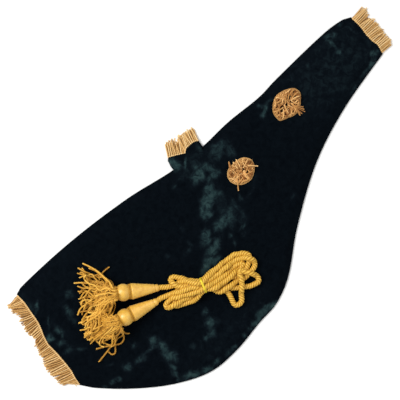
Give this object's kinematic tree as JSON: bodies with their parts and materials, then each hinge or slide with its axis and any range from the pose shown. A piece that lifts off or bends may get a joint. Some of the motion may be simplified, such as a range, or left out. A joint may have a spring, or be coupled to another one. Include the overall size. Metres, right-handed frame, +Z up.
{
  "type": "bagpipe bag cover with drone cord",
  "caption": "Flat velvet cover for a bagpipe bag with fringed mouths, a fringed sleeve and fringed stock holes, and a tied hank of drone cord with a tassel at each end.",
  "frame": {"origin": "middle of the bounding box, at the underside of the back panel, on the surface that the cover lies on", "axes": "+X along the cover from the rear mouth to the neck mouth, +Y towards the edge that carries the sleeve, +Z up out of the front panel"},
  "size_m": [0.818, 0.3404, 0.0432],
  "materials": {
    "velvet": "cotton velvet, near-black green, crushed pile",
    "fringe_heading": "woven wool heading",
    "fringe_wool": "twisted wool strands, matt",
    "cord_silk": "plied silk-finish cord",
    "tassel_satin": "satin thread, wound, glossy",
    "tassel_bullion": "twisted bullion strands, semi-matt",
    "tie": "soft yellow band",
    "mould_wood": "turned, bare"
  },
  "bodies": {
    "cover": {"back_panel": "velvet", "front_panel": "velvet", "stock_sleeve": "velvet", "rear_fringe_heading": "fringe_heading", "rear_fringe_front_strands": "fringe_wool", "rear_fringe_back_strands": "fringe_wool", "neck_fringe_heading": "fringe_heading", "neck_fringe_front_strands": "fringe_wool", "neck_fringe_back_strands": "fringe_wool", "sleeve_fringe_heading": "fringe_heading", "sleeve_fringe_front_strands": "fringe_wool", "sleeve_fringe_back_strands": "fringe_wool", "body_hole_heading": "fringe_heading", "body_hole_strands": "fringe_wool", "neck_hole_heading": "fringe_heading", "neck_hole_strands": "fringe_wool"},
    "cord": {"cord_hank": "cord_silk", "upper_cord_lead": "cord_silk", "lower_cord_lead": "cord_silk", "hank_tie": "tie"},
    "upper_tassel": {"upper_tassel_mould": "mould_wood", "upper_tassel_cone_winding": "tassel_satin", "upper_tassel_groove_cord": "cord_silk", "upper_tassel_ball_winding": "tassel_satin", "upper_tassel_core_cord": "cord_silk", "upper_tassel_end_knot": "cord_silk", "upper_tassel_skirt_heading": "tassel_bullion", "upper_tassel_skirt_strands": "tassel_bullion"},
    "lower_tassel": {"lower_tassel_mould": "mould_wood", "lower_tassel_cone_winding": "tassel_satin", "lower_tassel_groove_cord": "cord_silk", "lower_tassel_ball_winding": "tassel_satin", "lower_tassel_core_cord": "cord_silk", "lower_tassel_end_knot": "cord_silk", "lower_tassel_skirt_heading": "tassel_bullion", "lower_tassel_skirt_strands": "tassel_bullion"}
  },
  "joints": [
    {"name": "cord_lift", "type": "slide", "parent": "cover", "child": "cord", "axis": [0, 0, 1], "range_m": [0, 0.15]},
    {"name": "upper_tassel_swing", "type": "hinge", "parent": "cord", "child": "upper_tassel", "pos_m": [-0.176, 0.002, 0.0175], "axis": [0, 0, 1], "range_deg": [-60, 0]},
    {"name": "lower_tassel_swing", "type": "hinge", "parent": "cord", "child": "lower_tassel", "pos_m": [-0.194, -0.014, 0.0175], "axis": [0, 0, 1], "range_deg": [0, 60]}
  ]
}
